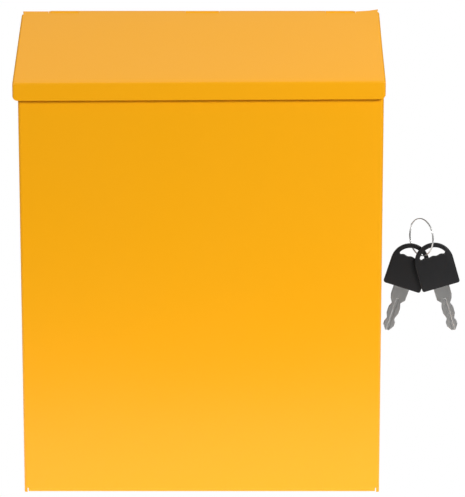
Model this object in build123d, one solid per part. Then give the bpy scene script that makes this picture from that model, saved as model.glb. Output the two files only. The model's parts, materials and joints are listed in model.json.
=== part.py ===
from build123d import *
import math
import os

# Wall mailbox in folded sheet steel: a body with a sloped rain lid, an inner plate with the letter
# slot, a hinged bottom door with a cam lock, and its two keys on a split ring.
# Millimetres. +X is to the right, +Y goes into the wall and +Z is up. Heights are written from the
# body's bottom edge, and save() lowers every piece so that the origin is the centre of the four
# wall holes, on the outer face of the back panel.

# --- driving dimensions: sheet work ---
SHEET = 0.8
BEND_RADIUS = 2.2  # outer radius of a fold
BODY_WIDTH = 250.0
BODY_DEPTH = 77.0
RETURN_FLANGE = 15.0  # the sides' inward flanges that carry the back panel
BOTTOM_FLANGE = 11.5  # the front's inward flange at the bottom edge
BEND_RELIEF = 0.8
WELD_GAP = 0.02  # between faces that are spot welded together

# --- driving dimensions: lid ---
LID_FOLD_HEIGHT = 288.9
LID_SLOPE = 30.5
LID_SIDE_GAP = 1.4  # between the body's sides and the inside of the lid's flanges
LID_SHIFT = -1.2  # the lid hangs a little to the left of the body
LIP_HEIGHT = 12.1
LIP_GAP = 1.7  # between the body's front and the inside of the lip
LIP_CORNER = 3.6
LID_BEND_RADIUS = 1.6
LID_REST_GAP = 0.4  # between the lid and the body's top edges
LID_FLANGE_END = 6.0  # the side flanges stop this far before the rear edge

# --- driving dimensions: hinges ---
ROD_RADIUS = 1.5
ROD_HEAD_RADIUS = 2.1
ROD_HEAD = 1.0
RUN_CLEARANCE = 0.05  # radial, where something turns
HINGE_SETBACK = 3.2  # from the wall plane to a hinge axis
NECK_LENGTH = 8.0  # the back panel's tabs lean forward over this length to reach a knuckle
KNUCKLE_GAP = 0.2  # along the axis between neighbouring knuckles
KNUCKLE_RELIEF = 0.9  # sheet is cut back this far around a turning knuckle
END_KNUCKLE = 20.0
MIDDLE_KNUCKLE = 24.0
HINGE_INSET = 17.0  # from the body's sides to the outermost knuckles

# --- driving dimensions: letter slot plate ---
PLATE_DROP = 10.0  # below the lid's underside
PLATE_FLANGE = 11.0
SLOT_INSET = 18.0  # from the body's sides to the letter slot's ends
SLOT_WIDTH = 35.0
SLOT_CORNER = 5.0
SLOT_FROM_FRONT = 12.0
CORNER_RELIEF = 4.0

# --- driving dimensions: bottom door ---
DOOR_SIDE_GAP = 0.7
DOOR_FRONT_GAP = 0.8
DOOR_FLANGE = 8.0
DOOR_REAR_NOTCH = 9.0
DOOR_STOP_LAP = 2.0
DOOR_STOP_GAP = 0.3

# --- driving dimensions: wall holes ---
HOLE_RADIUS = 3.25
HOLE_SPACING_X = 190.0
HOLE_SPACING_Z = 240.0
HOLE_CENTRE_HEIGHT = 165.0

# --- driving dimensions: cam lock ---
LOCK_FROM_FRONT = 32.0  # from the body's front to the lock's axis
PLUG_RADIUS = 6.45
PLUG_SHOULDER = 1.15  # the plug's head is this much larger than the plug
BARREL_WALL = 2.95
HEAD_RIM = 0.6  # the lock's head is this much larger than its barrel
HEAD_THICKNESS = 1.8
BARREL_LENGTH = 26.0
BARREL_FLAT_DEPTH = 1.5
THREAD_PITCH = 1.0
THREAD_DEPTH = 0.5
PANEL_HOLE_CLEARANCE = 0.15
PLUG_HEAD_THICKNESS = 1.5
TAIL_SIDE = 8.0
TAIL_CLEARANCE = 0.05
STOP_PLATE_THICKNESS = 1.0
STOP_TAB_INSET = 0.6  # the stop tab ends this far inside the barrel's surface
STOP_TAB_ANGLE = 20.0
STOP_MARGIN = 4.0
CAM_THICKNESS = 2.0
CAM_FRONT_GAP = 3.2  # between the locked cam's tip and the front sheet
CAM_WIDTH = 16.0
LOCK_TURN = 90.0
LOCK_STACK_GAP = 0.1
NUT_WALL = 2.1
NUT_THICKNESS = 4.0
NUT_CHAMFER = 0.5
WASHER_RIM = 2.6
WASHER_THICKNESS = 0.8
WASHER_TEETH = 12
SCREW_RADIUS = 2.0
SCREW_LENGTH = 6.5
SCREW_HEAD_RADIUS = 3.8
SCREW_HEAD = 2.2
SPRING_WASHER_RADIUS = 3.6
SPRING_WASHER_THICKNESS = 0.9
DRIVER_CROSS_WIDTH = 0.9
CATCH_WIDTH = 40.0
CATCH_DEPTH = 9.5
CATCH_GAP = 0.6  # between the catch's ledge and the cam that passes over it

# --- driving dimensions: wafers ---
WAFER_COUNT = 5
WAFER_PITCH = 2.6
WAFER_FIRST = 3.2
WAFER_THICKNESS = 1.0
WAFER_LENGTH = 10.6
WAFER_BREADTH = 6.4
WAFER_WINDOW = 6.7
WAFER_CLEARANCE = 0.06
WAFER_TAB = 1.7
WAFER_TAB_LENGTH = 1.2
SPRING_WIRE_RADIUS = 0.1
SPRING_RADIUS = 0.38
SPRING_PITCH = 0.45
SPRING_LENGTH = 2.25

# --- driving dimensions: keys ---
KEY_THICKNESS = 2.0
BLADE_WIDTH = 8.6
BLADE_GROOVE = 1.7
BLADE_GROOVE_DEPTH = 0.45
KEYWAY_CLEARANCE = 0.2
KEYWAY_DEPTH = 23.0
TANG_LENGTH = 14.0
TANG_WIDTH = 9.0
BOW_WIDTH = 27.4
BOW_HEIGHT = 32.5
BOW_WALL = 0.4  # plastic over each face of the key's root
BOW_EDGE = 0.5
BOW_CORNER = 1.6
BOW_SLOT_RADIUS = 10.6
BOW_SLOT_BASE = 22.6
BOW_SLOT_CORNER = 1.2
RING_RADIUS = 13.2
RING_WIRE_RADIUS = 0.3
RING_PITCH = 0.62
RING_TURNS = 1.96
RING_YAW = 56.7
RING_END_ANGLE = 148.0
RING_FROM_SIDE = 29.8  # from the body's side to the middle of the ring
RING_SETBACK = 45.0  # from the wall plane
RING_HEIGHT = 176.7
KEY_LAYER_GAP = 0.6  # between the two bows, front to back
KEY_A_OFFSET = (-13.3, -36.4)  # from the ring's middle to the middle of each bow's base, in x and height
KEY_A_TILT = -17.8
KEY_B_OFFSET = (14.6, -35.5)
KEY_B_TILT = 16.4

# --- worked out from the driving dimensions ---
slope = math.radians(LID_SLOPE)
half_width = BODY_WIDTH / 2
lip_face_y = -(BODY_DEPTH + LIP_GAP + SHEET)
lid_width = BODY_WIDTH + 2 * (SHEET + LID_SIDE_GAP)
hinge_width = BODY_WIDTH - 2 * HINGE_INSET
knuckle_bore = ROD_RADIUS + RUN_CLEARANCE
knuckle_radius = knuckle_bore + SHEET


def lid_surface(y, below=0.0):
    """Height of the lid's outer face at y, or of a plane parallel to it and square below it."""
    return LID_FOLD_HEIGHT + (y - lip_face_y) * math.tan(slope) - below / math.cos(slope)


lid_axis = (-HINGE_SETBACK, lid_surface(-HINGE_SETBACK, knuckle_radius))
door_axis = (-HINGE_SETBACK, knuckle_radius)
middle_start = MIDDLE_KNUCKLE / 2
end_start = hinge_width / 2 - END_KNUCKLE
panel_knuckles = [(-hinge_width / 2, -end_start), (-middle_start, middle_start), (end_start, hinge_width / 2)]
leaf_knuckles = [
    (-end_start + KNUCKLE_GAP, -middle_start - KNUCKLE_GAP),
    (middle_start + KNUCKLE_GAP, end_start - KNUCKLE_GAP),
]
lock_y = LOCK_FROM_FRONT - BODY_DEPTH
barrel_radius = PLUG_RADIUS + BARREL_WALL
barrel_flats = 2 * (barrel_radius - BARREL_FLAT_DEPTH)
stop_tab_radius = barrel_radius - STOP_TAB_INSET
washer_radius = barrel_radius + WASHER_RIM
nut_flats = 2 * (barrel_radius + NUT_WALL)
plug_head_radius = PLUG_RADIUS + PLUG_SHOULDER
stop_plate_z = BARREL_LENGTH + LOCK_STACK_GAP
cam_z = stop_plate_z + STOP_PLATE_THICKNESS
cam_top = cam_z + CAM_THICKNESS
cam_reach = LOCK_FROM_FRONT - SHEET - CAM_FRONT_GAP
bow_thickness = KEY_THICKNESS + 2 * BOW_WALL
ring_centre = (half_width + RING_FROM_SIDE, -RING_SETBACK, RING_HEIGHT)


def save(node, shape):
    """Lower a piece to the origin and write it as its own STEP file."""
    lowered = Pos(0, 0, -HOLE_CENTRE_HEIGHT) * Compound(children=list(shape.solids()))
    export_step(lowered, f"parts/{node}.step")


def block(x, y, z):
    """A box given by its low and high bounds along each axis."""
    size = [high - low for low, high in (x, y, z)]
    return Pos(x[0], y[0], z[0]) * Box(*size, align=(Align.MIN, Align.MIN, Align.MIN))


def across(points, x_low, x_high):
    """A closed outline in y and z, extruded along x."""
    return extrude(Plane.YZ.offset(x_low) * make_face(Polyline(*points, close=True)), amount=x_high - x_low)


def rod_along_x(radius, x_low, x_high, axis):
    """A round bar along x through the point axis, given in y and z."""
    return extrude(Plane.YZ.offset(x_low) * Pos(*axis) * Circle(radius), amount=x_high - x_low)


def folded_strip(points, radius=BEND_RADIUS):
    """The section of a folded sheet: its outer line with bends, thickened to the left of its direction."""
    line = Wire(FilletPolyline(*points, radius=radius).edges())
    return Face(line.offset_2d(SHEET, kind=Kind.ARC, side=Side.LEFT, closed=True))


def under_slope(x, y, below, depth):
    """A block whose top and bottom are parallel to the lid, its top square below the lid's outer face."""
    tops = [(y[0], lid_surface(y[0], below)), (y[1], lid_surface(y[1], below))]
    return across(tops + [(y[1], tops[1][1] - depth), (y[0], tops[0][1] - depth)], *x)


def pan(x, y, below, depth, bend, closed_rear):
    """A sheet pan open downwards, with a sloped top and upright flanges, all folds rounded."""

    def rounded(solid, radius):
        normal = Vector(0, -math.sin(slope), math.cos(slope))
        top = max(solid.faces(), key=lambda face: face.normal_at().dot(normal))
        folds = top.edges() + solid.edges().filter_by(Axis.Z)
        if not closed_rear:
            rear = solid.bounding_box().max.Y
            folds = folds.filter_by(lambda edge: min(v.Y for v in edge.vertices()) < rear - 1e-6)
        return fillet(folds, radius)

    inner_y = (y[0] + SHEET, y[1] - SHEET if closed_rear else y[1] + depth)
    outside = rounded(under_slope(x, y, below, depth), bend)
    inside = under_slope((x[0] + SHEET, x[1] - SHEET), inner_y, below + SHEET, 3 * depth)
    return outside - rounded(inside, bend - SHEET)


def relief(axis, lower):
    """What is cut away around a hinge: a round clearance and all that is beyond it."""
    reach = knuckle_radius + KNUCKLE_RELIEF
    far = (axis[1] - 4 * reach, axis[1]) if lower else (axis[1], axis[1] + 4 * reach)
    wide = (-BODY_WIDTH, BODY_WIDTH)
    return rod_along_x(reach, *wide, axis) + block(wide, (axis[0] - reach, axis[0] + 2 * reach), far)


def knuckle(x, axis):
    """Sheet rolled round the hinge rod."""
    return rod_along_x(knuckle_radius, *x, axis) - rod_along_x(knuckle_bore, *x, axis)


def above_slope(below):
    """Everything over a plane that is parallel to the lid and square below its outer face."""
    near, far = -2 * BODY_DEPTH, BODY_DEPTH
    top = 2 * LID_FOLD_HEIGHT
    points = [(near, lid_surface(near, below)), (far, lid_surface(far, below)), (far, top), (near, top)]
    return across(points, -BODY_WIDTH, BODY_WIDTH)


def room_beside(x):
    """How far along the hinge a moving sheet is cut back for a fixed knuckle and the rod's heads."""
    head = 2 * KNUCKLE_GAP + ROD_HEAD
    low = head if x[0] == -hinge_width / 2 else KNUCKLE_GAP
    high = head if x[1] == hinge_width / 2 else KNUCKLE_GAP
    return x[0] - low, x[1] + high


def body_shell():
    """Front and sides folded from one sheet, with returns at the rear and at the front's bottom edge."""
    rear = -SHEET - WELD_GAP
    flange_end = half_width - RETURN_FLANGE
    plan = [(-flange_end, rear), (-half_width, rear), (-half_width, -BODY_DEPTH)]
    plan += [(-x, y) for x, y in reversed(plan)]
    shell = extrude(folded_strip(plan), amount=lid_surface(0)) - above_slope(SHEET + LID_REST_GAP)
    shell -= relief(lid_axis, lower=False)
    inside = half_width - BEND_RADIUS
    shell -= relief(door_axis, lower=True) & block((-inside, inside), (-BODY_DEPTH, 0), (0, BODY_DEPTH))

    # The bottom return: the front's lower strip is taken off and put back with its fold.
    strip_top = 2 * BOTTOM_FLANGE
    front = (-BODY_DEPTH, -BODY_DEPTH + SHEET)
    shell -= block((-inside, inside), front, (0, strip_top))
    fold = [(-BODY_DEPTH, strip_top), (-BODY_DEPTH, 0), (-BODY_DEPTH + BOTTOM_FLANGE, 0)]
    shell += extrude(Plane.YZ.offset(-inside) * folded_strip(fold), amount=2 * inside)
    flange = (-BODY_DEPTH, -BODY_DEPTH + BOTTOM_FLANGE)
    for x in (-inside, inside - BEND_RELIEF):
        shell -= block((x, x + BEND_RELIEF), flange, (0, BEND_RADIUS + SHEET))
    return shell


def neck(x, axis, towards):
    """A tab of the back panel that leans forward to run tangent into its knuckle."""
    start = axis[1] - towards * NECK_LENGTH
    reach = math.hypot(HINGE_SETBACK, NECK_LENGTH)
    lean = math.atan2(HINGE_SETBACK, NECK_LENGTH) - math.asin(knuckle_radius / reach)
    along = math.sqrt(reach**2 - knuckle_radius**2)
    run = (-math.sin(lean), towards * math.cos(lean))
    inward = (-math.cos(lean), -towards * math.sin(lean))
    outer = [(0, start), (run[0] * along, start + run[1] * along)]
    inner = [(y + inward[0] * SHEET, z + inward[1] * SHEET) for y, z in reversed(outer)]
    foot = [(-SHEET, start - towards * SHEET), (0, start - towards * SHEET)]
    return across(outer + inner + foot, *x) + knuckle(x, axis)


def back_panel():
    """Flat panel welded outside the side returns, with the wall holes and both rows of knuckles."""
    side = half_width - BEND_RADIUS
    room = knuckle_radius + KNUCKLE_RELIEF
    panel = block((-side, side), (-SHEET, 0), (door_axis[1] + room, lid_axis[1] - room))
    for x in panel_knuckles:
        slit = (x[0] - KNUCKLE_GAP, x[1] + KNUCKLE_GAP)
        for axis, towards in ((lid_axis, 1), (door_axis, -1)):
            foot = sorted((axis[1], axis[1] - towards * NECK_LENGTH))
            panel -= block(slit, (-SHEET, 0), foot)
            panel += neck(x, axis, towards)
    for place in GridLocations(HOLE_SPACING_X, HOLE_SPACING_Z, 2, 2):
        hole = Plane.XZ * Pos(0, HOLE_CENTRE_HEIGHT) * place * Circle(HOLE_RADIUS)
        panel -= extrude(hole, SHEET + WELD_GAP, both=True)
    return panel


def slot_plate():
    """Inner sloped plate under the lid, with flanges down the front, sides and rear, and the letter slot."""
    side = half_width - SHEET - WELD_GAP
    front, rear = -BODY_DEPTH + SHEET + WELD_GAP, -2 * (SHEET + WELD_GAP)
    below = SHEET + LID_REST_GAP + PLATE_DROP
    plate = pan((-side, side), (front, rear), below, PLATE_FLANGE, BEND_RADIUS, closed_rear=True)
    for x in (-side, side - CORNER_RELIEF):
        for y in (front, rear - CORNER_RELIEF):
            plate -= block((x, x + CORNER_RELIEF), (y, y + CORNER_RELIEF), (0, 2 * LID_FOLD_HEIGHT))
    middle = front + (SLOT_FROM_FRONT + SLOT_WIDTH / 2) * math.cos(slope)
    place = Pos(0, middle, lid_surface(middle, below)) * Rot(LID_SLOPE, 0, 0)
    letter_slot = RectangleRounded(BODY_WIDTH - 2 * SLOT_INSET, SLOT_WIDTH, SLOT_CORNER)
    return plate - extrude(place * letter_slot, amount=2 * SHEET, both=True)


def lid():
    """Rain lid folded from one sheet: sloped top, front lip, side flanges and the rolled rear edge."""
    x = (LID_SHIFT - lid_width / 2, LID_SHIFT + lid_width / 2)
    rear = lid_axis[0] - knuckle_radius * math.sin(slope)
    flange_rear = rear - LID_FLANGE_END * math.cos(slope)
    cover = pan(x, (lip_face_y, flange_rear), 0, LIP_HEIGHT, LID_BEND_RADIUS, closed_rear=False)
    bent = LID_BEND_RADIUS
    cover += under_slope((x[0] + bent, x[1] - bent), (flange_rear - SHEET, rear), 0, SHEET / math.cos(slope))
    for knuckle_x in panel_knuckles:
        cover -= rod_along_x(knuckle_radius + KNUCKLE_RELIEF, *room_beside(knuckle_x), lid_axis)
    for knuckle_x in leaf_knuckles:
        cover -= rod_along_x(knuckle_bore, *knuckle_x, lid_axis)
        cover += knuckle(knuckle_x, lid_axis)
    lip_end = LID_FOLD_HEIGHT - LIP_HEIGHT
    for corner_x, side in ((x[0], 1), (x[1], -1)):
        square = Rectangle(2 * LIP_CORNER, 2 * LIP_CORNER)
        cut = square - Pos(side * LIP_CORNER, LIP_CORNER) * Circle(LIP_CORNER)
        near = Rectangle(2 * LIP_CORNER, 2 * LIP_CORNER, align=(Align.CENTER, Align.MIN))
        outside = Plane.XZ * Pos(corner_x, lip_end) * (cut & Pos(0, -SHEET) * near)
        cover -= extrude(outside, 2 * BODY_DEPTH, both=True)
    return cover


def hinge_rod(axis):
    """Round steel rod through a row of knuckles, its ends upset into small heads."""
    end = hinge_width / 2 + KNUCKLE_GAP
    rod = rod_along_x(ROD_RADIUS, -end, end, axis)
    for x in (-end - ROD_HEAD, end):
        rod += rod_along_x(ROD_HEAD_RADIUS, x, x + ROD_HEAD, axis)
    return rod


def double_flat(radius, flats, low, high):
    """A round bar along the lock's axis with two flats."""
    return Pos(0, 0, low) * extrude(Circle(radius) & Rectangle(flats, 3 * radius), amount=high - low)


def at_lock(shape):
    """Place a piece that was drawn on the lock's own axis."""
    return Pos(0, lock_y, 0) * shape


def bottom_door():
    """Door sheet with side flanges turned up, a rolled rear edge and the lock's double-flat hole."""
    side = half_width - SHEET - DOOR_SIDE_GAP
    front = -BODY_DEPTH + BOTTOM_FLANGE + DOOR_FRONT_GAP
    notch = -DOOR_REAR_NOTCH
    fold = [(-side, DOOR_FLANGE), (-side, 0), (side, 0), (side, DOOR_FLANGE)]
    door = extrude(Plane.XZ.offset(-notch) * folded_strip(fold), amount=notch - front)
    inside = half_width - BEND_RADIUS - DOOR_SIDE_GAP
    door += block((-inside, inside), (notch, door_axis[0]), (0, SHEET))
    for x in panel_knuckles:
        door -= rod_along_x(knuckle_radius + KNUCKLE_RELIEF, *room_beside(x), door_axis)
    for x in leaf_knuckles:
        door -= rod_along_x(knuckle_bore, *x, door_axis)
        door += knuckle(x, door_axis)
    hole_flats = barrel_flats + 2 * PANEL_HOLE_CLEARANCE
    return door - at_lock(double_flat(barrel_radius + PANEL_HOLE_CLEARANCE, hole_flats, -SHEET, 2 * SHEET))


def lock_catch():
    """Folded bracket inside the front: its foot stops the door, its ledge holds the cam."""
    wall = -BODY_DEPTH + SHEET + WELD_GAP
    foot = SHEET + DOOR_STOP_GAP
    ledge = cam_z - CATCH_GAP
    foot_end = -BODY_DEPTH + BOTTOM_FLANGE + DOOR_FRONT_GAP + DOOR_STOP_LAP
    path = [(wall + CATCH_DEPTH, ledge), (wall, ledge), (wall, foot), (foot_end, foot)]
    strip = Plane.YZ.offset(-CATCH_WIDTH / 2) * folded_strip(path, radius=SHEET + 0.3)
    return extrude(strip, amount=CATCH_WIDTH)


def lock_housing():
    """Threaded lock barrel with two flats, a round head outside the door and a stop on its inner end."""
    turns = int(BARREL_LENGTH / THREAD_PITCH)
    root = barrel_radius - THREAD_DEPTH
    profile = [(0, 0), (root, 0)]
    for turn in range(turns):
        low = turn * THREAD_PITCH
        profile += [(barrel_radius, low + THREAD_PITCH / 2), (root, low + THREAD_PITCH)]
    barrel = revolve(Plane.XZ * make_face(Polyline(*profile, (0, turns * THREAD_PITCH), close=True)), Axis.Z)
    stop_height = STOP_PLATE_THICKNESS
    ring = Circle(stop_tab_radius) - Circle(PLUG_RADIUS + 2 * RUN_CLEARANCE)
    free = STOP_TAB_ANGLE / 2 + STOP_MARGIN
    barrel += Pos(0, 0, BARREL_LENGTH) * extrude(ring - sector(-free, LOCK_TURN + free), amount=stop_height)
    barrel &= double_flat(2 * barrel_radius, barrel_flats, 0, 2 * BARREL_LENGTH)
    head = Pos(0, 0, -HEAD_THICKNESS) * extrude(Circle(barrel_radius + HEAD_RIM), amount=HEAD_THICKNESS)
    head = chamfer(head.faces().sort_by(Axis.Z)[0].edges(), HEAD_THICKNESS / 4)
    face = -HEAD_THICKNESS
    seat_end = face + PLUG_HEAD_THICKNESS + LOCK_STACK_GAP
    bore = double_flat(PLUG_RADIUS + RUN_CLEARANCE, 4 * PLUG_RADIUS, face, 2 * BARREL_LENGTH)
    seat = double_flat(plug_head_radius + RUN_CLEARANCE, 4 * PLUG_RADIUS, face, seat_end)
    return at_lock(barrel + head - bore - seat)


def sector(start, end):
    """A wedge of a large circle round the lock's axis, between two angles in degrees."""
    reach = 4 * barrel_radius
    angles = [math.radians(angle) for angle in (start, (start + end) / 2, end)]
    rim = [(reach * math.cos(angle), reach * math.sin(angle)) for angle in angles]
    return make_face(Polyline((0, 0), *rim, close=True))


def wafer_heights():
    """Height of the lower face of each wafer's slot in the plug."""
    return [WAFER_FIRST + number * WAFER_PITCH for number in range(WAFER_COUNT)]


def lock_plug():
    """Turning plug with its keyway, wafer slots, square tail and the tapped hole for the cam screw."""
    face = -HEAD_THICKNESS
    plug = double_flat(plug_head_radius, 4 * PLUG_RADIUS, face, face + PLUG_HEAD_THICKNESS)
    plug += double_flat(PLUG_RADIUS, 4 * PLUG_RADIUS, face, BARREL_LENGTH)
    tail_top = cam_top - LOCK_STACK_GAP
    half_tail = TAIL_SIDE / 2
    plug += block((-half_tail, half_tail), (-half_tail, half_tail), (BARREL_LENGTH, tail_top))
    half_way = BLADE_WIDTH / 2 + KEYWAY_CLEARANCE
    half_thick = (KEY_THICKNESS + KEYWAY_CLEARANCE) / 2
    plug -= block((-half_way, half_way), (-half_thick, half_thick), (face, face + KEYWAY_DEPTH))
    slot_y = WAFER_BREADTH / 2 + WAFER_CLEARANCE
    pocket_x = (-SPRING_LENGTH - WAFER_TAB_LENGTH - WAFER_CLEARANCE, WAFER_TAB_LENGTH)
    pocket_y = (slot_y, WAFER_BREADTH / 2 + WAFER_TAB + WAFER_CLEARANCE)
    for z in wafer_heights():
        height = (z, z + WAFER_THICKNESS + 2 * WAFER_CLEARANCE)
        plug -= block((-PLUG_RADIUS, PLUG_RADIUS), (-slot_y, slot_y), height)
        plug -= block(pocket_x, pocket_y, height)
    depth = SCREW_LENGTH + RUN_CLEARANCE
    return at_lock(plug - double_flat(SCREW_RADIUS, 4 * SCREW_RADIUS, tail_top - depth, tail_top))


def lock_wafers():
    """Brass wafers, each with a window for the key and a side tab for its spring."""
    half_length, half_breadth = WAFER_LENGTH / 2, WAFER_BREADTH / 2
    window_x, window_y = WAFER_WINDOW / 2, KEY_THICKNESS / 2 + KEYWAY_CLEARANCE
    wafers = Part()
    for z in wafer_heights():
        height = (z + WAFER_CLEARANCE, z + WAFER_CLEARANCE + WAFER_THICKNESS)
        wafer = block((-half_length, half_length), (-half_breadth, half_breadth), height)
        wafer += block((-WAFER_TAB_LENGTH, 0), (0, half_breadth + WAFER_TAB), height)
        wafer -= block((-window_x, window_x), (-window_y, window_y), height)
        wafers += wafer
    return at_lock(wafers)


def wafer_springs():
    """One small coil spring beside each wafer, pushing on its tab."""
    y = (WAFER_BREADTH + WAFER_TAB) / 2
    start = -SPRING_LENGTH - WAFER_TAB_LENGTH
    coil = Helix(SPRING_PITCH, SPRING_LENGTH - 2 * SPRING_WIRE_RADIUS, SPRING_RADIUS)
    wire = sweep(Plane(origin=coil @ 0, z_dir=coil % 0) * Circle(SPRING_WIRE_RADIUS), path=coil)
    springs = []
    for z in wafer_heights():
        middle = z + WAFER_CLEARANCE + WAFER_THICKNESS / 2
        springs.append(at_lock(Pos(start, y, middle) * Rot(0, 90, 0) * wire))
    return Compound(children=springs)


def lock_nut():
    """Hexagon nut that clamps the lock in the door."""
    nut = extrude(RegularPolygon(nut_flats / 2, 6, major_radius=False), amount=NUT_THICKNESS)
    corner = nut_flats / math.sqrt(3)
    disc = Pos(0, 0, NUT_THICKNESS / 2) * Cylinder(corner, NUT_THICKNESS)
    nut &= chamfer(disc.edges().filter_by(GeomType.CIRCLE), NUT_CHAMFER)
    nut -= Cylinder(barrel_radius + WELD_GAP, 4 * NUT_THICKNESS)
    return at_lock(Pos(0, 0, SHEET + WASHER_THICKNESS) * nut)


def lock_washer():
    """Toothed washer between the door sheet and the nut."""
    washer = Circle(washer_radius) - Circle(barrel_radius + PANEL_HOLE_CLEARANCE)
    for place in PolarLocations(washer_radius, WASHER_TEETH):
        washer -= place * Rectangle(2 * WASHER_THICKNESS, WASHER_THICKNESS * 1.5)
    return at_lock(Pos(0, 0, SHEET) * extrude(washer, amount=WASHER_THICKNESS))


def tail_hole():
    """The square that fits over the plug's tail."""
    return Rectangle(TAIL_SIDE + 2 * TAIL_CLEARANCE, TAIL_SIDE + 2 * TAIL_CLEARANCE)


def stop_plate():
    """Plate on the plug's tail whose tab limits the turn."""
    disc = Circle(PLUG_RADIUS)
    half = STOP_TAB_ANGLE / 2
    tab = Circle(stop_tab_radius) & sector(LOCK_TURN - half, LOCK_TURN + half)
    plate = extrude(disc + tab - tail_hole(), amount=STOP_PLATE_THICKNESS)
    return at_lock(Pos(0, 0, stop_plate_z) * plate)


def lock_cam():
    """Flat cam on the plug's tail; it points sideways when unlocked and to the front when locked."""
    half = CAM_WIDTH / 2
    straight = cam_reach - half
    outline = Circle(half) + Pos(straight, 0) * Circle(half)
    outline += Pos(straight / 2, 0) * Rectangle(straight, CAM_WIDTH)
    return at_lock(Pos(0, 0, cam_z) * extrude(outline - tail_hole(), amount=CAM_THICKNESS))


def spring_washer():
    """Split washer under the head of the cam screw."""
    ring = Circle(SPRING_WASHER_RADIUS) - Circle(SCREW_RADIUS + RUN_CLEARANCE)
    ring -= Pos(SPRING_WASHER_RADIUS, 0) * Rectangle(SPRING_WASHER_RADIUS, SPRING_WASHER_THICKNESS / 2)
    return at_lock(Pos(0, 0, cam_top) * extrude(ring, amount=SPRING_WASHER_THICKNESS))


def cam_screw():
    """Cross-head screw that holds the cam on the plug's tail."""
    seat = cam_top + SPRING_WASHER_THICKNESS
    head = Pos(0, 0, seat) * extrude(Circle(SCREW_HEAD_RADIUS), amount=SCREW_HEAD)
    head = fillet(head.faces().sort_by(Axis.Z)[-1].edges(), SCREW_HEAD / 2)
    shank_radius = SCREW_RADIUS - WELD_GAP
    screw = head + double_flat(shank_radius, 4 * SCREW_RADIUS, seat - SCREW_LENGTH, seat)
    slot = Rectangle(SCREW_HEAD_RADIUS, DRIVER_CROSS_WIDTH)
    cross = extrude(slot + Rot(0, 0, 90) * slot, amount=SCREW_HEAD)
    return at_lock(screw - Pos(0, 0, seat + SCREW_HEAD / 3) * cross)


# The key's blade seen flat, from the middle of the bow's base to the tip: one side and then the other.
BLADE_LEFT = [
    (-5.7, 0), (-5.5, -8.4), (-2.9, -11.2), (-3.9, -14.6), (-3.9, -18.6),
    (-2.5, -22.4), (-2.5, -23.6), (-3.7, -25.6), (-3.7, -28.4), (-1.2, -32.1),
]
BLADE_RIGHT = [
    (1.4, -32.5), (3.9, -28.8), (3.9, -26.4), (2.9, -23.8), (4.3, -20.4),
    (4.3, -15.6), (3.0, -12.6), (4.9, -9.4), (5.7, -6.4), (5.7, 0),
]


def place_key(shape, offset, tilt, layer):
    """Hang a key that was drawn flat with its bow's base in the middle; layer is -1 in front, +1 behind."""
    forward = layer * (bow_thickness + KEY_LAYER_GAP) / 2
    turn = 180 if layer > 0 else 0
    hang = Pos(*ring_centre) * Pos(offset[0], forward, offset[1]) * Rot(0, -tilt, 0)
    return hang * Rot(0, 0, turn) * shape


def key_sheet(sketch, thickness):
    """A flat outline of the key, as thick as given and centred front to back."""
    return extrude(Plane.XZ * sketch, thickness / 2, both=True)


def key_tang():
    """The blade's root inside the moulded bow."""
    return key_sheet(Pos(0, TANG_LENGTH / 2) * Rectangle(TANG_WIDTH, TANG_LENGTH), KEY_THICKNESS)


def key_blade(offset, tilt, layer):
    """Double-sided wafer key: cut on both edges, with a milled groove along each face."""
    blade = key_sheet(make_face(Polyline(*BLADE_LEFT, *BLADE_RIGHT, close=True)), KEY_THICKNESS) + key_tang()
    tip = min(z for _, z in BLADE_RIGHT)
    tip_middle = (BLADE_LEFT[-1][0] + BLADE_RIGHT[0][0]) / 2
    groove = Pos(tip_middle, tip) * Rectangle(BLADE_GROOVE, 2 * (BLADE_LEFT[1][1] - tip))
    web = KEY_THICKNESS - 2 * BLADE_GROOVE_DEPTH
    blade -= key_sheet(groove, 2 * KEY_THICKNESS) - key_sheet(groove, web)
    return place_key(blade, offset, tilt, layer)


def key_bow(offset, tilt, layer):
    """Moulded plastic bow: square foot, round top and a slot for the ring."""
    half = BOW_WIDTH / 2
    arch = BOW_HEIGHT - half
    outline = Pos(0, arch / 2) * Rectangle(BOW_WIDTH, arch)
    outline = fillet(outline.vertices().group_by(Axis.Y)[0], BOW_CORNER) + Pos(0, arch) * Circle(half)
    above = Pos(0, BOW_SLOT_BASE + half) * Rectangle(BOW_WIDTH, BOW_WIDTH)
    slot = Pos(0, arch) * Circle(BOW_SLOT_RADIUS) & above
    slot = fillet(slot.vertices(), BOW_SLOT_CORNER)
    bow = key_sheet(outline - slot, bow_thickness)
    flat_faces = bow.faces().filter_by(Axis.Y)
    bow = fillet(flat_faces.edges(), BOW_EDGE)
    return place_key(bow - key_tang(), offset, tilt, layer)


def key_ring():
    """Split ring: almost two turns of wire, seen nearly edge on."""
    yaw, end = math.radians(RING_YAW), math.radians(RING_END_ANGLE)
    axis = (math.sin(yaw), math.cos(yaw), 0)
    start = (math.cos(end) * math.cos(yaw), -math.cos(end) * math.sin(yaw), math.sin(end))
    length = RING_PITCH * RING_TURNS
    coil = Helix(RING_PITCH, length, RING_RADIUS, center=(0, 0, -length / 2))
    wire = sweep(Plane(origin=coil @ 0, z_dir=coil % 0) * Circle(RING_WIRE_RADIUS), path=coil)
    return Plane(origin=ring_centre, x_dir=start, z_dir=axis) * wire


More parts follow.
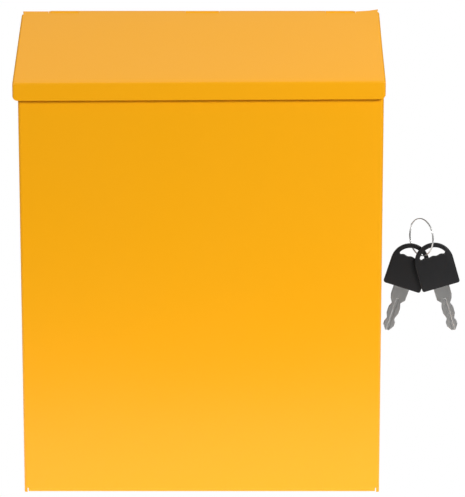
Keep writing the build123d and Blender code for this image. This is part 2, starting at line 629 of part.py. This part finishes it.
os.makedirs("parts", exist_ok=True)
save("body_shell", body_shell())
save("back_panel", back_panel())
save("slot_plate", slot_plate())
save("lock_catch", lock_catch())
save("lid", lid())
save("lid_hinge_rod", hinge_rod(lid_axis))
save("bottom_door", bottom_door())
save("door_hinge_rod", hinge_rod(door_axis))
save("lock_housing", lock_housing())
save("lock_washer", lock_washer())
save("lock_nut", lock_nut())
save("lock_plug", lock_plug())
save("lock_wafers", lock_wafers())
save("wafer_springs", wafer_springs())
save("stop_plate", stop_plate())
save("lock_cam", lock_cam())
save("spring_washer", spring_washer())
save("cam_screw", cam_screw())
save("key_ring", key_ring())
for letter, offset, tilt, layer in (("a", KEY_A_OFFSET, KEY_A_TILT, 1), ("b", KEY_B_OFFSET, KEY_B_TILT, -1)):
    save(f"key_{letter}_blade", key_blade(offset, tilt, layer))
    save(f"key_{letter}_bow", key_bow(offset, tilt, layer))
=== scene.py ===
# %% [markdown]
# # A yellow steel mailbox and its keys
# The mailbox is folded from thin steel sheet and powder coated. This lesson dresses its exact CAD
# frame in Blender: the frame gives every place and size in metres, and the cells below add the
# finishes, the sheet's slight waviness, the light and the camera.

# %% Load the frame and note its size
import json
import math

import bpy
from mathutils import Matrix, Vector


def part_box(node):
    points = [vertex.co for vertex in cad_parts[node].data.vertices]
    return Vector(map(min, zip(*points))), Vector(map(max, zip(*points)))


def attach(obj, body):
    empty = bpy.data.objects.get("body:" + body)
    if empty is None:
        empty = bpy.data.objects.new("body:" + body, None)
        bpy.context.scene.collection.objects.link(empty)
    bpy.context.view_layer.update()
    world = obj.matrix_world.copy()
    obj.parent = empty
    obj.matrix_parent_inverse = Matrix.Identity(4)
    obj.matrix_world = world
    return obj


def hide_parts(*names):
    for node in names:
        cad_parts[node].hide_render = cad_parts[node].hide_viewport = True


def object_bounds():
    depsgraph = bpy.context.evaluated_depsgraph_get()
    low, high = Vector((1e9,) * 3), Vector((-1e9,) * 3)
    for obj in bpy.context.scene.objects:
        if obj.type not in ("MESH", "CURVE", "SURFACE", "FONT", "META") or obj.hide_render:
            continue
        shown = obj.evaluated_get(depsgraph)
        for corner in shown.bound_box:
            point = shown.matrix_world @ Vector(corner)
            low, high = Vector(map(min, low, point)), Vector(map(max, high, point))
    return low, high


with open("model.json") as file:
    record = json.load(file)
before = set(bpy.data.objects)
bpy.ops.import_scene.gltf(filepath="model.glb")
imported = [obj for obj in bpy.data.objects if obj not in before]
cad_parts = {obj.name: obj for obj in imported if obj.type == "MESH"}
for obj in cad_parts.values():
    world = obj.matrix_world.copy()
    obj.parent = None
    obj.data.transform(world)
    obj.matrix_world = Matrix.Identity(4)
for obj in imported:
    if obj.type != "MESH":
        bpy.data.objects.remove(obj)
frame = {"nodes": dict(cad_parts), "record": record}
nodes = frame["nodes"]
cad_box = [list(corner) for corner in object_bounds()]
print("CAD box in metres:", cad_box)

# %% [markdown]
# ## Colours and nodes
# Paint charts and screens give colours as sRGB hex, but the renderer works with linear light, so one
# function turns a hex colour to linear. A second small function adds a shader node with its settings
# and its links, which keeps each material short enough to read as a recipe.


# %% Two helpers for materials
def colour(hex_code):
    """An sRGB hex colour as linear red, green, blue and alpha."""
    parts = [int(hex_code[i : i + 2], 16) / 255 for i in (1, 3, 5)]
    linear = [p / 12.92 if p <= 0.04045 else ((p + 0.055) / 1.055) ** 2.4 for p in parts]
    return (*linear, 1.0)


def add_node(material, kind, settings=None, **sockets):
    """Add a shader node, set its own settings, and set or link its sockets."""
    tree = material.node_tree
    node = tree.nodes.new(kind)
    for name, value in (settings or {}).items():
        setattr(node, name, value)
    for name, value in sockets.items():
        socket = node.inputs[name.replace("_", " ")]
        if isinstance(value, bpy.types.NodeSocket):
            tree.links.new(value, socket)
        else:
            socket.default_value = value
    return node


def new_material(name):
    """An empty node material, with its output node."""
    material = bpy.data.materials.new(name)
    material.use_nodes = True
    material.node_tree.nodes.clear()
    return material, add_node(material, "ShaderNodeOutputMaterial")


def per_metre(millimetres):
    """The scale that gives a noise pattern features of this size, on coordinates in metres."""
    return 1000.0 / millimetres


# %% [markdown]
# ## Powder coat
# The sheet is finished in a traffic-yellow polyester powder coat. The powder is sprayed on dry and
# melts in an oven, so it flows almost flat but keeps a very fine orange peel, about two millimetres
# from crest to crest, and gives a satin gloss. A fine noise bump makes the peel, and a broad, weak
# noise makes the small changes of gloss that handling leaves.

# %% Powder coat material
POWDER_COLOUR = "#F8AC06"
PEEL_MM = 2.0


def powder_coat():
    material, output = new_material("Powder coated steel, traffic yellow")
    place = add_node(material, "ShaderNodeTexCoord").outputs["Object"]
    peel = add_node(
        material, "ShaderNodeTexNoise", Vector=place, Scale=per_metre(PEEL_MM), Detail=2.0, Roughness=0.5
    )
    bump = add_node(material, "ShaderNodeBump", Height=peel.outputs["Fac"], Strength=0.05, Distance=0.0003)
    broad = add_node(material, "ShaderNodeTexNoise", Vector=place, Scale=per_metre(90.0), Detail=3.0)
    gloss = add_node(material, "ShaderNodeMapRange", Value=broad.outputs["Fac"], To_Min=0.30, To_Max=0.38)
    coat = add_node(
        material,
        "ShaderNodeBsdfPrincipled",
        Base_Color=colour(POWDER_COLOUR),
        Roughness=gloss.outputs["Result"],
        IOR=1.46,
        Normal=bump.outputs["Normal"],
    )
    material.node_tree.links.new(coat.outputs["BSDF"], output.inputs["Surface"])
    return material


# %% [markdown]
# ## Metals
# The lock and the key blades are nickel plated: warm, bright and a little soft from tumbling. Rods,
# nut, washers and cam are zinc plated, which is bluer and duller. Wafers are brass. Each metal has
# fine drawn scratches along one direction, from a noise that is stretched with a Mapping node.

# %% Metal materials
def worked_metal(name, hex_code, roughness, grain_mm, stretch):
    material, output = new_material(name)
    place = add_node(material, "ShaderNodeTexCoord").outputs["Object"]
    along = add_node(material, "ShaderNodeMapping", Vector=place, Scale=stretch)
    grain = add_node(
        material,
        "ShaderNodeTexNoise",
        Vector=along.outputs["Vector"],
        Scale=per_metre(grain_mm),
        Detail=4.0,
    )
    bump = add_node(material, "ShaderNodeBump", Height=grain.outputs["Fac"], Strength=0.06, Distance=0.0001)
    gloss = add_node(
        material,
        "ShaderNodeMapRange",
        Value=grain.outputs["Fac"],
        To_Min=roughness * 0.75,
        To_Max=roughness * 1.3,
    )
    metal = add_node(
        material,
        "ShaderNodeBsdfPrincipled",
        Base_Color=colour(hex_code),
        Metallic=1.0,
        Roughness=gloss.outputs["Result"],
        Normal=bump.outputs["Normal"],
    )
    material.node_tree.links.new(metal.outputs["BSDF"], output.inputs["Surface"])
    return material


# %% [markdown]
# ## Moulded black plastic
# The key bows are injection moulded in black ABS with a fine spark-eroded texture, so they look dark
# grey in bright light and their gloss is soft. The texture's grain is about 0.3 millimetres.

# %% Plastic material
def moulded_plastic():
    material, output = new_material("Moulded ABS, black, spark-eroded texture")
    place = add_node(material, "ShaderNodeTexCoord").outputs["Object"]
    grain = add_node(material, "ShaderNodeTexNoise", Vector=place, Scale=per_metre(0.35), Detail=3.0)
    bump = add_node(material, "ShaderNodeBump", Height=grain.outputs["Fac"], Strength=0.25, Distance=0.0001)
    plastic = add_node(
        material,
        "ShaderNodeBsdfPrincipled",
        Base_Color=colour("#141416"),
        Roughness=0.42,
        IOR=1.54,
        Normal=bump.outputs["Normal"],
    )
    material.node_tree.links.new(plastic.outputs["BSDF"], output.inputs["Surface"])
    return material


# %% [markdown]
# ## One finish for each slot
# The record names a material slot for every piece, so the finishes are made once and given out by
# slot. The lid's rod alone gets a finish of its own, because no bare metal shows at its two heads.

# %% Give every piece its finish
finishes = {
    "yellow_coat": powder_coat(),
    "zinc_steel": worked_metal("Zinc plated steel, bright", "#B9BDC2", 0.38, 0.4, (1.0, 1.0, 0.2)),
    "nickel": worked_metal("Nickel plated brass, tumbled", "#D2D1CF", 0.36, 0.3, (1.0, 1.0, 0.15)),
    "brass": worked_metal("Turned brass", "#D9B45C", 0.3, 0.3, (0.2, 1.0, 1.0)),
    "black_plastic": moulded_plastic(),
}
HEAD_START = 0.107


def coated_rod():
    """Zinc plate along the rod, with powder coat on the two heads, which were sprayed with the box."""
    rod, output = new_material("Zinc plated rod, heads powder coated")
    place = add_node(rod, "ShaderNodeTexCoord").outputs["Object"]
    along = add_node(rod, "ShaderNodeSeparateXYZ", Vector=place)
    reach = add_node(rod, "ShaderNodeMath", {"operation": "ABSOLUTE"})
    rod.node_tree.links.new(along.outputs["X"], reach.inputs[0])
    bare = add_node(rod, "ShaderNodeMath", {"operation": "LESS_THAN"})
    rod.node_tree.links.new(reach.outputs["Value"], bare.inputs[0])
    bare.inputs[1].default_value = HEAD_START
    coats = add_node(rod, "ShaderNodeMixRGB", Fac=bare.outputs["Value"])
    coats.inputs["Color1"].default_value = colour(POWDER_COLOUR)
    coats.inputs["Color2"].default_value = colour("#B9BDC2")
    metal = add_node(
        rod,
        "ShaderNodeBsdfPrincipled",
        Base_Color=coats.outputs["Color"],
        Metallic=bare.outputs["Value"],
        Roughness=0.36,
    )
    rod.node_tree.links.new(metal.outputs["BSDF"], output.inputs["Surface"])
    return rod


slot_of = {part["node"]: part["material_slot"] for part in frame["record"]["subparts"]}
for name, node in nodes.items():
    node.data.materials.clear()
    node.data.materials.append(finishes[slot_of[name]])
nodes["lid_hinge_rod"].data.materials[0] = coated_rod()
print("finished nodes:", len(nodes))

# %% [markdown]
# ## Working copies
# A folded sheet is never quite flat, and a moulded edge is never quite sharp. Such shapes start from
# the CAD piece, so that every hole and fold stays where it is. The CAD mesh is loose triangles, so a
# copy is made, its doubles are merged and its flat areas are cleared of inner edges. Then planes are
# bisected across it wherever new vertices are needed.


# %% Copy, slice and soften
def select_only(piece):
    bpy.ops.object.select_all(action="DESELECT")
    piece.select_set(True)
    bpy.context.view_layer.objects.active = piece


def working_copy(node, name):
    """A copy of a CAD piece that can be reshaped, with merged doubles and clean flat areas."""
    piece = nodes[node].copy()
    piece.data = nodes[node].data.copy()
    piece.name = name
    for key in list(piece.keys()):
        del piece[key]
    bpy.context.scene.collection.objects.link(piece)
    piece.parent = None
    select_only(piece)
    bpy.ops.mesh.customdata_custom_splitnormals_clear()
    bpy.ops.object.mode_set(mode="EDIT")
    bpy.ops.mesh.select_all(action="SELECT")
    bpy.ops.mesh.remove_doubles(threshold=1e-6)
    bpy.ops.mesh.dissolve_limited(angle_limit=math.radians(0.5))
    bpy.ops.object.mode_set(mode="OBJECT")
    return piece


def slice_across(piece, normal, origin, reach, step):
    """Bisect a piece with parallel planes, from -reach to +reach either side of an origin."""
    select_only(piece)
    bpy.ops.object.mode_set(mode="EDIT")
    count = int(reach / step)
    for number in range(-count, count + 1):
        bpy.ops.mesh.select_all(action="SELECT")
        bpy.ops.mesh.bisect(plane_co=origin + normal * (number * step), plane_no=normal)
    bpy.ops.object.mode_set(mode="OBJECT")


def soften_edges(piece, width, corner=40.0):
    """Round every edge that is sharper than an angle, and keep flat faces flat in the shading."""
    select_only(piece)
    bpy.ops.object.shade_smooth_by_angle(angle=math.radians(30.0))
    rounding = piece.modifiers.new("Rounding", "BEVEL")
    rounding.width = width
    rounding.segments = 2
    rounding.limit_method = "ANGLE"
    rounding.angle_limit = math.radians(corner)
    rounding.harden_normals = True
    bpy.ops.object.modifier_apply(modifier=rounding.name)


def stand_in(piece, body, node):
    """Hand a finished piece to the frame: it rides a body and takes the place of its CAD node."""
    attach(piece, body)
    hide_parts(node)
    print(piece.name, "faces:", len(piece.data.polygons))


def bump_between(value, start, end):
    """A smooth hill from 0 at start to 1 half way and 0 again at end."""
    share = min(max((value - start) / (end - start), 0.0), 1.0)
    return math.sin(math.pi * share) ** 2


# %% [markdown]
# ## Body shell
# The front and sides are one folded sheet of 0.8 mm steel. A sheet this thin bows by a few tenths of a
# millimetre between its folds, which fitters call oil canning: it can't be felt, but it bends the
# reflections. The copy is sliced into a coarse grid and its flat walls are pushed by a smooth formula,
# so the folds, which are stiff, stay where they are. The top edges, which the lid hides, are cut back
# by 0.9 mm, so that the leaning lid rests over them and doesn't cut into them. The keys' metal should
# look neutral and not mirror the box's yellow side, so the shell is hidden from mirror rays only.

# %% Body shell
BOW_OF_FRONT = 0.0004
BOW_OF_SIDES = 0.0003
SHEET_GRID = 0.02
GRID_REACH = (0.11, 0.03, 0.15)  # half the grid's width, depth and height
FOLD_ZONE = 0.003
WAVE_OF_FRONT = 0.16
STIFF_FOOT = 0.012
STIFF_TOP = 0.03
TOP_EDGE_AT_FRONT = 0.1239
TOP_EDGE_BAND = 0.001
TOP_SETBACK = 0.0009
LID_SLOPE = math.radians(30.5)
SHEET_EDGE_ROUND = 0.00015
X_AXIS, Y_AXIS, Z_AXIS = Vector((1, 0, 0)), Vector((0, 1, 0)), Vector((0, 0, 1))

shell_low, shell_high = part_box("body_shell")
shell_middle = (shell_low + shell_high) / 2
shell = working_copy("body_shell", "folded_body")
slice_across(shell, X_AXIS, shell_middle, GRID_REACH[0], SHEET_GRID)
slice_across(shell, Z_AXIS, shell_middle, GRID_REACH[2], SHEET_GRID)
slice_across(shell, Y_AXIS, shell_middle, GRID_REACH[1], SHEET_GRID)
for vertex in shell.data.vertices:
    x, y, z = vertex.co
    if z > TOP_EDGE_AT_FRONT + (y - shell_low.y) * math.tan(LID_SLOPE) - TOP_EDGE_BAND:
        vertex.co.z -= TOP_SETBACK
    up = bump_between(z, shell_low.z + STIFF_FOOT, shell_high.z - STIFF_TOP)
    if y < shell_low.y + FOLD_ZONE:
        across = bump_between(x, shell_low.x, shell_high.x)
        wave = math.sin(math.pi * (x - shell_low.x) / WAVE_OF_FRONT)
        vertex.co.y += BOW_OF_FRONT * up * (0.7 * across + 0.3 * across * wave)
    elif abs(x) > shell_high.x - FOLD_ZONE:
        deep = bump_between(y, shell_low.y, shell_high.y)
        vertex.co.x += math.copysign(BOW_OF_SIDES, -x) * up * deep
soften_edges(shell, SHEET_EDGE_ROUND)
stand_in(shell, "housing", "body_shell")
shell.visible_glossy = False

# %% [markdown]
# ## Lid
# The lid is folded from one sheet too, and it hangs a quarter of a degree out of level on its loose
# hinge: its lip is a little lower at the left. The press has rolled the sheet softly over the fold at
# the lip. The slope is dished by 0.6 mm, and its right rear corner, which is free beyond the hinge,
# stands a little proud. Behind the side flanges the sheet spreads outwards where the fold ends, and
# the fold itself runs out a little further back than the flange below it. The hinge line isn't moved.

# %% Lid
LID_LEAN = math.radians(0.27)
LID_DISH = 0.0006
CORNER_RISE = 0.0018
REAR_STRIP = 0.0075
EAR_START = 0.0022
EAR_REACH = 0.0008
FOLD_END = 0.0095
FOLD_DEPTH = 0.0055
FOLD_REACH = 0.0022
REAR_EASE = 0.012
LIP_EASE = 0.003
LID_EDGE_ROUND = 0.0002
LID_REACH = (0.12, 0.03)  # half the grid's width and depth
LID_GRID = (0.015, 0.012)
FOLD_MIDDLE = 0.0035
FOLD_GRID_REACH = 0.0024
FOLD_GRID = 0.0008
SOFT_FOLD = 0.005
SOFT_DROP = 0.0003
SLOPE_FOOT = 0.1225
HINGE_HALF = 0.110

lid_low, lid_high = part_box("lid")
lid_middle = (lid_low + lid_high) / 2
lid = working_copy("lid", "rain_lid")
slice_across(lid, X_AXIS, lid_middle, LID_REACH[0], LID_GRID[0])
slice_across(lid, Y_AXIS, lid_middle, LID_REACH[1], LID_GRID[1])
slice_across(lid, Y_AXIS, lid_low + Y_AXIS * FOLD_MIDDLE, FOLD_GRID_REACH, FOLD_GRID)
for vertex in lid.data.vertices:
    x, y, z = vertex.co
    to_front = min(max((lid_high.y - REAR_EASE - y) / (lid_high.y - lid_low.y - REAR_EASE), 0.0), 1.0)
    easing = to_front * to_front * (3 - 2 * to_front)
    dish = bump_between(x, lid_low.x, lid_high.x)
    dish *= bump_between(y, lid_low.y + LIP_EASE, lid_high.y - REAR_EASE)
    beyond = min(max((x - HINGE_HALF) / (lid_high.x - HINGE_HALF), 0.0), 1.0)
    corner = beyond * beyond * max(1.0 - to_front * 3.0, 0.0)
    vertex.co.z += math.tan(LID_LEAN) * x * easing - LID_DISH * dish + CORNER_RISE * corner
    if z > SLOPE_FOOT:
        near_fold = min(max(1.0 - (y - lid_low.y) / SOFT_FOLD, 0.0), 1.0)
        vertex.co.z -= SOFT_DROP * near_fold * near_fold
    from_edge = lid_high.x - lid_middle.x - abs(x - lid_middle.x)
    if y > lid_high.y - REAR_STRIP and from_edge < EAR_START:
        vertex.co.x += math.copysign(EAR_REACH, x)
    elif y > lid_high.y - FOLD_END and from_edge < EAR_START and z > lid_high.z - FOLD_DEPTH:
        vertex.co += Vector((0.0, FOLD_REACH, FOLD_REACH * math.tan(LID_SLOPE)))
soften_edges(lid, LID_EDGE_ROUND)
stand_in(lid, "lid", "lid")

# %% [markdown]
# ## Key bows
# Each bow is moulded round the key's root, so its edges are soft, and the bottom of its ring slot is
# wavy. The copy is sliced across the slot, and a cosine lifts the slot's lower edge in three places.

# %% Key bows
SLOT_REACH = 0.0098
SLOT_STEP = 0.0007
WAVE_LENGTH = 0.0058
WAVE_RISE = 0.0006
SLOT_HALF = 0.0088
SLOT_BAND = (-0.0008, 0.0004)  # how far below and above the slot's lower edge vertices are lifted
FADE_LENGTH = 0.0015
SLOT_BASE_SHARE = 22.6 / 32.5  # the slot's lower edge, as a share of the bow's height
BOW_HEIGHT = 0.0325
KEY_TILTS = {"a": -17.8, "b": 16.4}
KEY_FEET = {"a": (0.1415, -0.0247), "b": (0.1694, -0.0238)}

for letter, tilt in KEY_TILTS.items():
    lean = math.radians(-tilt)
    across_key = Vector((math.cos(lean), 0.0, -math.sin(lean)))
    along_key = Vector((math.sin(lean), 0.0, math.cos(lean)))
    foot = Vector((KEY_FEET[letter][0], 0.0, KEY_FEET[letter][1]))
    bow = working_copy(f"key_{letter}_bow", f"moulded_bow_{letter}")
    slice_across(bow, across_key, foot, SLOT_REACH, SLOT_STEP)
    for vertex in bow.data.vertices:
        u = (vertex.co - foot).dot(across_key)
        v = (vertex.co - foot).dot(along_key) - SLOT_BASE_SHARE * BOW_HEIGHT
        if abs(u) < SLOT_HALF and SLOT_BAND[0] < v < SLOT_BAND[1]:
            fade = min((SLOT_HALF - abs(u)) / FADE_LENGTH, 1.0)
            wave = 0.5 + 0.5 * math.cos(2 * math.pi * u / WAVE_LENGTH)
            vertex.co += along_key * (WAVE_RISE * fade * wave)
    select_only(bow)
    bpy.ops.object.shade_smooth_by_angle(angle=math.radians(35.0))
    stand_in(bow, f"key_{letter}", f"key_{letter}_bow")

# %% [markdown]
# ## Key blades
# The blades are stamped and then milled, and tumbling rounds their edges by about a tenth of a
# millimetre. Those narrow rounds catch the light, so the bevel here is 0.24 mm, drawn wider than the
# real one to show.

# %% Key blades
BLADE_EDGE_ROUND = 0.00024

for letter in KEY_TILTS:
    blade = working_copy(f"key_{letter}_blade", f"milled_blade_{letter}")
    soften_edges(blade, BLADE_EDGE_ROUND)
    stand_in(blade, f"key_{letter}", f"key_{letter}_blade")

# %% [markdown]
# ## Floor, light and camera
# The floor is white paper that stops a short way in front of the box, so that its reflection brightens
# only the foot of the front sheet. The paper glows a little, as an underlit table does, and so it
# stays white without a hard shadow. It lights the box and is mirrored in it, but the camera doesn't
# see it, so that it never hides the door and the lock underneath. The room is a dim studio with one
# bright panel overhead, a little behind the box: the lid's slope mirrors that panel as a pale sheen,
# and the front sheet, which mirrors the dim side of the room, keeps its full colour. Two low soft
# boxes at the sides light the front, and the right one is nearer, so that side is a little brighter.

# %% Floor
low, high = (Vector(corner) for corner in cad_box)
FLOOR_DROP = 0.004
FLOOR_FRONT = -0.34
FLOOR_REAR = 0.35
FLOOR_HALF_WIDTH = 0.8
middle = (FLOOR_FRONT + FLOOR_REAR) / 2
bpy.ops.mesh.primitive_plane_add(size=1.0, location=(0.0, middle, low.z - FLOOR_DROP))
floor = bpy.context.active_object
floor.name = "floor"
floor.scale = (2 * FLOOR_HALF_WIDTH, FLOOR_REAR - FLOOR_FRONT, 1.0)
bpy.ops.object.transform_apply(location=True, rotation=True, scale=True)
paper, paper_output = new_material("White paper, underlit")
sheet = add_node(
    paper,
    "ShaderNodeBsdfPrincipled",
    Base_Color=colour("#F2F2F2"),
    Roughness=0.8,
    Specular_IOR_Level=0.2,
    Emission_Color=colour("#FFFFFF"),
    Emission_Strength=0.58,
)
paper.node_tree.links.new(sheet.outputs["BSDF"], paper_output.inputs["Surface"])
floor.data.materials.append(paper)
floor.visible_camera = False

# %% World
ROOM_LIGHT = 0.06
PANEL_LIGHT = 0.96
PANEL_DIRECTION = (0.0, 0.33, 0.94)
world = bpy.data.worlds.new("Dim studio with an overhead panel")
bpy.context.scene.world = world
world.use_nodes = True
world.node_tree.nodes.clear()
direction = add_node(world, "ShaderNodeTexCoord").outputs["Generated"]
facing = add_node(world, "ShaderNodeVectorMath", {"operation": "DOT_PRODUCT"})
world.node_tree.links.new(direction, facing.inputs[0])
facing.inputs[1].default_value = PANEL_DIRECTION
panel = add_node(
    world,
    "ShaderNodeMapRange",
    {"interpolation_type": "SMOOTHSTEP"},
    Value=facing.outputs["Value"],
    From_Min=0.72,
    From_Max=0.98,
    To_Min=ROOM_LIGHT,
    To_Max=PANEL_LIGHT,
)
room = add_node(world, "ShaderNodeBackground", Color=colour("#FFFFFF"), Strength=panel.outputs["Result"])
backdrop = add_node(world, "ShaderNodeBackground", Color=colour("#FFFFFF"), Strength=1.0)
seen = add_node(world, "ShaderNodeLightPath").outputs["Is Camera Ray"]
choice = add_node(world, "ShaderNodeMixShader")
world.node_tree.links.new(seen, choice.inputs[0])
world.node_tree.links.new(room.outputs["Background"], choice.inputs[1])
world.node_tree.links.new(backdrop.outputs["Background"], choice.inputs[2])
world_output = add_node(world, "ShaderNodeOutputWorld")
world.node_tree.links.new(choice.outputs["Shader"], world_output.inputs["Surface"])


# %% Soft boxes
def soft_box(name, azimuth, elevation, distance, size, watts):
    """A square area light that faces the box; azimuth 0 is straight in front, positive to the right."""
    turn, lift = math.radians(azimuth), math.radians(elevation)
    flat = distance * math.cos(lift)
    place = Vector((flat * math.sin(turn), -flat * math.cos(turn), distance * math.sin(lift)))
    bpy.ops.object.light_add(type="AREA", location=place)
    light = bpy.context.active_object
    light.name = name
    light.data.size = size
    light.data.energy = watts
    light.rotation_euler = place.to_track_quat("Z", "Y").to_euler()
    return light


soft_box("Left soft box", -42.0, 28.5, 2.2, 0.7, 20.1)
soft_box("Right soft box", 42.0, 28.5, 1.4, 0.5, 12.1)

# %% Camera
FOCAL_MM = 146.7
EYE = (0.0216, -1.4561, 0.2397)
LOOK_DOWN = 9.50
bpy.ops.object.camera_add(location=EYE, rotation=(math.radians(90.0 - LOOK_DOWN), 0.0, 0.0))
camera = bpy.context.active_object
camera.data.lens = FOCAL_MM
camera.data.sensor_width = 36.0
bpy.context.scene.camera = camera
bpy.context.scene.view_settings.view_transform = "Standard"
